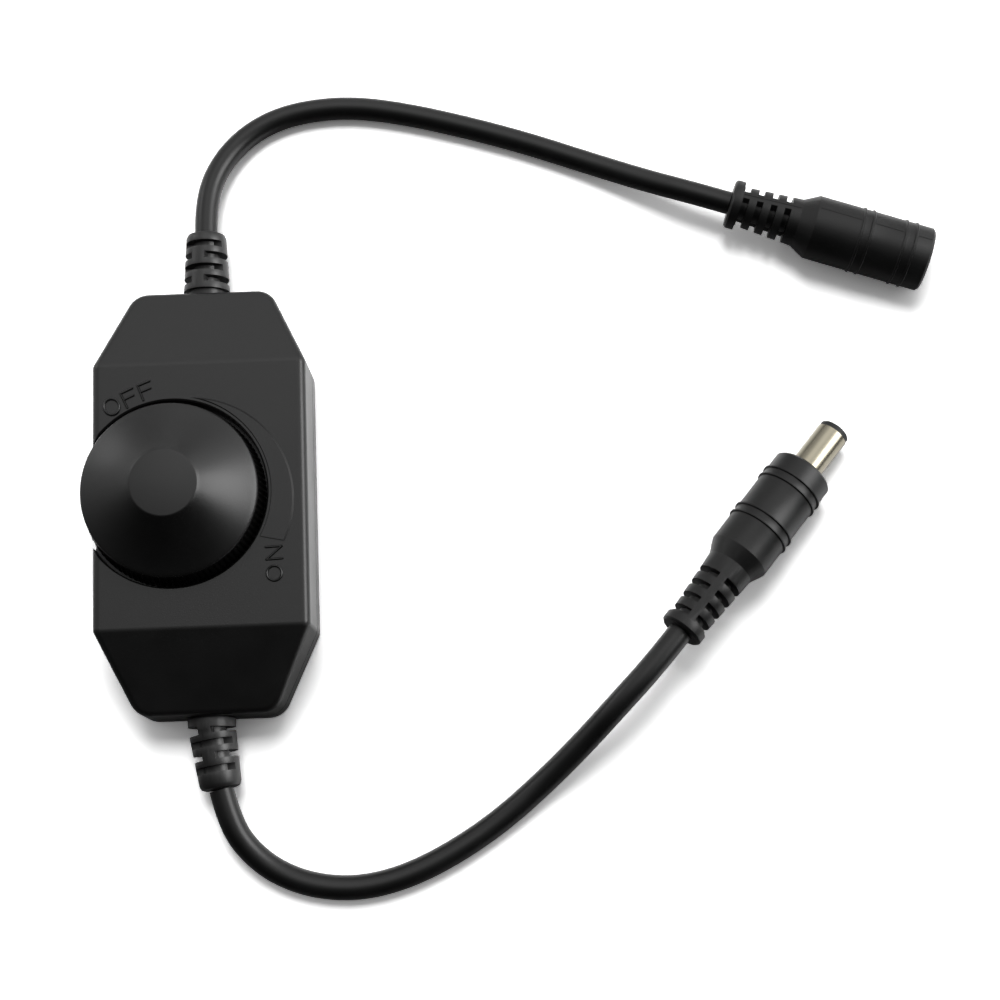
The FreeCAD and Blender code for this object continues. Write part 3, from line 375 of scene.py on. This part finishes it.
# Under the dial sits a small potentiometer: a blue nylon cover on a brown phenolic wafer, a white
# acetal shaft, a brass wiper and three tinned pins. The board, its parts, the wires and the black
# rings in the plug and the socket follow. Columns: pieces, deep and pale colour, roughness, metallic.
inner_finishes = {
    "pot_nylon": (("pot_housing",), (0.02, 0.04, 0.13), (0.03, 0.06, 0.18), 0.42, 0.0),
    "phenolic_paper": (("pot_track",), (0.16, 0.08, 0.03), (0.26, 0.14, 0.06), 0.55, 0.0),
    "acetal": (("pot_shaft",), (0.62, 0.61, 0.58), (0.72, 0.71, 0.69), 0.40, 0.0),
    "wiper_brass": (("pot_wiper",), (0.62, 0.44, 0.18), (0.72, 0.54, 0.26), 0.28, 1.0),
    "tinned_copper": (
        ("pot_terminals", "chip_leads", "transistor_tab"), (0.56, 0.56, 0.54), (0.68, 0.68, 0.66), 0.35, 1.0,
    ),
    "solder_mask": (("circuit_board",), (0.010, 0.09, 0.03), (0.020, 0.14, 0.05), 0.30, 0.0),
    "moulding_compound": (
        ("power_transistor", "timer_chip", "diode", "chip_resistors", "capacitor_base"),
        (0.010, 0.010, 0.011), (0.022, 0.022, 0.023), 0.50, 0.0,
    ),
    "can_aluminium": (("smoothing_capacitor",), (0.60, 0.61, 0.62), (0.72, 0.72, 0.73), 0.30, 1.0),
    "chip_ceramic": (("chip_capacitors",), (0.30, 0.19, 0.10), (0.42, 0.29, 0.17), 0.45, 0.0),
    "red_insulation": (
        ("red_wire_in", "red_wire_out"), (0.35, 0.012, 0.010), (0.48, 0.022, 0.018), 0.35, 0.0,
    ),
    "black_insulation": (("black_wire_in", "black_wire_out"), grey(0.006), grey(0.012), 0.35, 0.0),
    "black_nylon": (("plug_insulator", "socket_insert"), grey(0.005), grey(0.011), 0.58, 0.0),
}
for name, (dressed, deep, pale, roughness, metallic) in inner_finishes.items():
    finish = skin_material(
        name, deep, pale, grains=4000.0, roughness=roughness, spread=0.12, dust=0.01,
        bump_strength=0.15, bump_depth=0.00003, Metallic=metallic,
    )
    for node in dressed:
        dress(nodes[node], finish)

# Strain reliefs and the two grips are moulded over the cords in soft black PVC. Their slots let them
# bend with the cord, and every edge is left slightly round by the mould.
slot_edge = 0.00016
ridge_edge = 0.00014
relief_crease = 28
grip_crease = 18
smooth_margin = 2
flat_angle = 1.5
relief_pvc = skin_material(
    "relief_pvc", deep=grey(0.0020), pale=grey(0.0056), grains=3800.0, roughness=0.40, spread=0.16,
    dust=0.02, bump_strength=0.22, bump_depth=0.00005, IOR=1.58,
)
grip_pvc = skin_material(
    "grip_pvc", deep=grey(0.0014), pale=grey(0.0040), grains=3800.0, roughness=0.42, spread=0.16,
    dust=0.02, bump_strength=0.22, bump_depth=0.00005, IOR=1.43,
)


def moulded_copy(node, name, edge_width, crease):
    """A copy of a CAD piece whose edges sharper than a crease angle are rounded by the mould."""
    piece = merged_copy(node, name)
    bpy.ops.object.mode_set(mode="EDIT")
    bpy.ops.mesh.select_all(action="SELECT")
    bpy.ops.mesh.dissolve_limited(angle_limit=math.radians(flat_angle))
    bpy.ops.object.mode_set(mode="OBJECT")
    rounding = piece.modifiers.new("rounding", "BEVEL")
    rounding.width = edge_width
    rounding.segments = 3
    rounding.limit_method = "ANGLE"
    rounding.angle_limit = math.radians(crease)
    bpy.ops.object.modifier_apply(modifier=rounding.name)
    bpy.ops.object.shade_smooth_by_angle(angle=math.radians(crease + smooth_margin))
    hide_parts(node)
    return piece


soft_pieces = (
    ("relief_in", "north_relief", slot_edge, relief_crease, relief_pvc),
    ("relief_out", "south_relief", slot_edge, relief_crease, relief_pvc),
    ("plug_body", "plug_grip", ridge_edge, grip_crease, grip_pvc),
    ("socket_body", "socket_grip", ridge_edge, grip_crease, grip_pvc),
)
for node, name, edge_width, crease, pvc in soft_pieces:
    piece = moulded_copy(node, name, edge_width, crease)
    dress(piece, pvc)
    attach(piece, "housing")

# The socket grip lies rolled a little about its own axis, so that one row of webs between its slots
# looks up. The halves of its mould leave a fine raised line on top, broken at the ring pairs. Columns
# of the runs: start and end behind the nose, radius at the start and at the end.
socket_nose = Vector((0.1234, 0.03795, 0.0056))
socket_heading = -18.6
socket_dip = 1.5
grip_roll = 23.0
line_width = 0.00010
line_height = 0.00005
line_angle = 70.0
grip_radius = 0.0055
mould_runs = (
    (0.0006, 0.0029, grip_radius, grip_radius),
    (0.0055, 0.0105, grip_radius, grip_radius),
    (0.0129, 0.0202, grip_radius, grip_radius),
    (0.0231, 0.0332, 0.0041, 0.0034),
)


def socket_turn(roll):
    """The turn that points +X along the socket, after a roll about its axis."""
    angles = (math.radians(roll), math.radians(socket_dip), math.radians(socket_heading))
    return Euler(angles, "XYZ").to_matrix()


socket_grip = bpy.data.objects["socket_grip"]
ahead = socket_turn(0).col[0]
rolled = Matrix.Translation(socket_nose) @ Matrix.Rotation(math.radians(grip_roll), 4, ahead)
socket_grip.data.transform(rolled @ Matrix.Translation(-socket_nose))
strips = []
for near_end, far_end, near_radius, far_radius in mould_runs:
    length = far_end - near_end
    bpy.ops.mesh.primitive_cube_add(
        size=1, location=(-(near_end + far_end) / 2, 0, (near_radius + far_radius) / 2),
        rotation=(0, -math.atan2(near_radius - far_radius, length), 0),
        scale=(length, line_width, line_height * 2),
    )
    strips.append(bpy.context.object)
mould_line = join_pieces(strips, "mould_line")
laid = Matrix.Translation(socket_nose) @ socket_turn(line_angle - 90).to_4x4()
mould_line.data.transform(laid)
dress(mould_line, grip_pvc)
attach(mould_line, "housing")

# The plug's two sleeves and the socket's pin and side contact are turned or bent from brass with a
# bright nickel plate, which is a little yellow. Only the outer sleeve shows in the photograph.
nickel = skin_material(
    "nickel", deep=(0.300, 0.276, 0.214), pale=(0.370, 0.340, 0.266), grains=3000.0, roughness=0.22,
    spread=0.12, dust=0.02, bump_strength=0.05, bump_depth=0.00002, Metallic=1.0,
)
for name in ("plug_barrel", "plug_contact", "socket_pin", "socket_spring"):
    dress(nodes[name], nickel)

# Two round two-core cords with a smooth, glossy black PVC jacket, drawn by extrusion. One runs to
# the socket, the other to the plug; both lie on the table between their strain reliefs and grips.
cord_in_diameter = 0.0039
cord_out_diameter = 0.0041
cord_in_length = 0.1093
cord_out_length = 0.0995
cord_in_route = (
    (0.0, 0.047375, 0.0048), (-0.0001, 0.0529, 0.0044), (0.0017, 0.0596, 0.0033), (0.0059, 0.0653, 0.0024),
    (0.0117, 0.0690, 0.00205), (0.0185, 0.0706, 0.0020), (0.0258, 0.0708, 0.0020), (0.0338, 0.0695, 0.0020),
    (0.0438, 0.0669, 0.0020), (0.0555, 0.0632, 0.0020), (0.0665, 0.0589, 0.0023), (0.0762, 0.0546, 0.0042),
    (0.0836, 0.0515, 0.0062), (0.0902395, 0.0491098, 0.0065162),
)
cord_out_route = (
    (0.0014196, -0.0472757, 0.0048), (0.0027, -0.0526, 0.0044), (0.0056, -0.0573, 0.0034),
    (0.0102, -0.0611, 0.0025), (0.0164, -0.0635, 0.0021), (0.0236, -0.0641, 0.0021),
    (0.0312, -0.0625, 0.0021), (0.0392, -0.0589, 0.0021), (0.0473, -0.0538, 0.0021),
    (0.0546, -0.0478, 0.0034), (0.0609, -0.0421, 0.0069), (0.0669, -0.0361, 0.0102),
    (0.0726, -0.0304, 0.0109), (0.0773232, -0.0249552, 0.0101467),
)


def lay_cord(name, route, diameter):
    """A smooth round cord along a route."""
    curve = bpy.data.curves.new(name, "CURVE")
    curve.dimensions = "3D"
    curve.resolution_u = 24
    curve.bevel_depth = diameter / 2
    curve.bevel_resolution = 10
    curve.use_fill_caps = True
    spline = curve.splines.new("NURBS")
    spline.points.add(len(route) - 1)
    for point, place in zip(spline.points, route):
        point.co = (*place, 1.0)
    spline.order_u = 3
    spline.use_endpoint_u = True
    cord = bpy.data.objects.new(name, curve)
    bpy.context.scene.collection.objects.link(cord)
    return cord


cord_jacket = skin_material(
    "cord_jacket", deep=grey(0.0014), pale=grey(0.0040), grains=2600.0, roughness=0.36, spread=0.12,
    dust=0.012, bump_strength=0.12, bump_depth=0.00004, IOR=1.46,
)
cord_pieces = (
    ("socket_cord", "cord_in", cord_in_route, cord_in_diameter, cord_in_length, "connector",
     ("north_relief", "socket_grip", "mould_line", "socket_insert", "socket_pin", "socket_spring")),
    ("plug_cord", "cord_out", cord_out_route, cord_out_diameter, cord_out_length, "plug",
     ("south_relief", "plug_grip", "plug_barrel", "plug_insulator", "plug_contact")),
)
for name, node, route, diameter, length, far_end, on_it in cord_pieces:
    cord = lay_cord(name, route, diameter)
    dress(cord, cord_jacket)
    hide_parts(node)
    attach(cord, "housing")

# A wide, pale studio floor takes the soft shadows and fades to pure white in the distance. Its colour in
# reflections is painted light and shade: painted shade in reflections that run south or graze it, painted
# light in those that run north or far to the east.
floor_size = 3.0
floor_middle = (0.05, 0.0, 0.0)
floor_roughness = 0.9
level_in_view = 1.7
level_in_shadows = 0.9
painted_shade_southward = 0.18
painted_light_northward = 1.65
painted_light_eastward = 1.4
south_limit = 0.06
north_limit = -0.16
east_start = -0.4
east_limit = -0.7
grazing = 0.1
steep = 0.7
grazing_share = 0.35
fade_start = 0.20
fade_end = 0.50


def float_mix(tree, factor, usual, marked):
    """One value for the rays that the factor marks and the usual one for the rest."""
    mix = tree.nodes.new("ShaderNodeMix")
    mix.data_type = "FLOAT"
    tree.links.new(factor, mix.inputs["Factor"])
    feed(tree, usual, mix.inputs["A"])
    feed(tree, marked, mix.inputs["B"])
    return mix.outputs["Result"]


bpy.ops.mesh.primitive_plane_add(size=floor_size, location=floor_middle)
floor = bpy.context.object
floor.name = "studio_floor"
floor_with_painted_reflections = bpy.data.materials.new("floor_with_painted_reflections")
floor_with_painted_reflections.use_nodes = True
tree = floor_with_painted_reflections.node_tree
shader = tree.nodes["Principled BSDF"]
shader.inputs["Emission Color"].default_value = (1, 1, 1, 1)
shader.inputs["Roughness"].default_value = floor_roughness
shader.inputs["Specular IOR Level"].default_value = 0.0
seen = tree.nodes.new("ShaderNodeLightPath").outputs
surface = tree.nodes.new("ShaderNodeNewGeometry").outputs
seen_from = tree.nodes.new("ShaderNodeSeparateXYZ")
tree.links.new(surface["Incoming"], seen_from.inputs["Vector"])
# Painted reflection: for reflected rays the floor's colour is darker southward and at grazing angles, and
# brighter northward and eastward.
painted_north_south_reflection = map_range(
    tree, seen_from.outputs["Y"], south_limit, north_limit, painted_shade_southward, painted_light_northward,
)
from_above = map_range(tree, seen_from.outputs["Z"], grazing, steep, to_min=grazing_share)
painted_east_reflection = map_range(tree, seen_from.outputs["X"], east_start, east_limit, to_max=painted_light_eastward)
painted_reflection_level = math_node(tree, "MAXIMUM", math_node(tree, "MULTIPLY", painted_north_south_reflection, from_above), painted_east_reflection)
in_view = float_mix(tree, seen["Is Camera Ray"], level_in_shadows, level_in_view)
floor_level_and_painted_reflections = float_mix(tree, seen["Is Glossy Ray"], in_view, painted_reflection_level)
tree.links.new(floor_level_and_painted_reflections, shader.inputs["Base Color"])
from_middle = tree.nodes.new("ShaderNodeVectorMath")
from_middle.operation = "LENGTH"
tree.links.new(surface["Position"], from_middle.inputs["Vector"])
fade = map_range(tree, from_middle.outputs["Value"], fade_start, fade_end)
far_white = math_node(tree, "MULTIPLY", fade, seen["Is Camera Ray"])
tree.links.new(far_white, shader.inputs["Emission Strength"])
dress(floor, floor_with_painted_reflections)

# Two softboxes show in reflections alone: a large one on the right and a weak window at the far left.
# A third, north of the part and high above it, is never mirrored and casts the soft shadows. Columns:
# name, place, target, width, height, radiance, whether it shows in reflections.
softboxes = (
    ("right_strip", (0.73, 0.13, 0.50), (0.03, 0.0, 0.0), 0.54, 0.46, 5.6, True),
    ("far_window", (-0.62, 0.50, 0.26), (0.0, 0.0, 0.0), 0.28, 0.24, 2.2, True),
    ("overhead_key", (0.03, 0.52, 1.10), (0.05, 0.0, 0.0), 0.48, 0.48, 13.0, False),
)
for name, place, target, width, height, radiance, mirrored in softboxes:
    bpy.ops.object.light_add(type="AREA", location=place)
    lamp = bpy.context.object
    lamp.name = name
    lamp.rotation_mode = "QUATERNION"
    lamp.rotation_quaternion = (Vector(target) - Vector(place)).to_track_quat("-Z", "Y")
    lamp.data.shape = "RECTANGLE"
    lamp.data.size = width
    lamp.data.size_y = height
    lamp.data.energy = radiance * math.pi * width * height
    lamp.visible_glossy = mirrored
    lamp.visible_diffuse = not mirrored

# The studio's walls and ceiling are a grey sky, pale in the north and dark in the south. Reflections
# show it brighter overhead and in the east, and the camera sees it as pure white.
mirror_gain = 3.0
shadow_gain = 0.6
shadow_floor = 0.20
sky_levels = (
    (0.27, 0.01), (0.42, 0.10), (0.52, 0.28), (0.62, 0.56), (0.74, 0.59), (0.90, 0.46), (0.98, 0.28),
)
west_levels = (
    (0.15, 0.50), (0.30, 0.52), (0.40, 0.70), (0.47, 1.30), (0.54, 1.00), (0.68, 0.56), (0.86, 1.15),
)


def level_ramp(tree, direction, levels):
    """Grey levels along one direction of the sky, from its -1 end at 0 to its +1 end at 1."""
    ramp = tree.nodes.new("ShaderNodeValToRGB")
    ramp.color_ramp.interpolation = "B_SPLINE"
    while len(ramp.color_ramp.elements) < len(levels):
        ramp.color_ramp.elements.new(1.0)
    for element, (position, level) in zip(ramp.color_ramp.elements, levels):
        element.position = position
        element.color = (level, level, level, 1)
    tree.links.new(map_range(tree, direction, -1.0, 1.0), ramp.inputs["Fac"])
    return ramp.outputs["Color"]


world = bpy.data.worlds.new("studio_air")
bpy.context.scene.world = world
world.use_nodes = True
tree = world.node_tree
backdrop = tree.nodes["Background"]
where = tree.nodes.new("ShaderNodeTexCoord")
split = tree.nodes.new("ShaderNodeSeparateXYZ")
tree.links.new(where.outputs["Generated"], split.inputs["Vector"])
sky = level_ramp(tree, split.outputs["Y"], sky_levels)
westward = level_ramp(tree, split.outputs["X"], west_levels)
bright = math_node(tree, "MULTIPLY", math_node(tree, "MULTIPLY", sky, westward), mirror_gain)
shade = math_node(tree, "MULTIPLY_ADD", sky, shadow_gain, shadow_floor)
seen = tree.nodes.new("ShaderNodeLightPath").outputs
on_the_part = float_mix(tree, seen["Is Diffuse Ray"], bright, shade)
strength = float_mix(tree, seen["Is Camera Ray"], on_the_part, 1.0)
tree.links.new(strength, backdrop.inputs["Strength"])
backdrop.inputs["Color"].default_value = (1, 1, 1, 1)
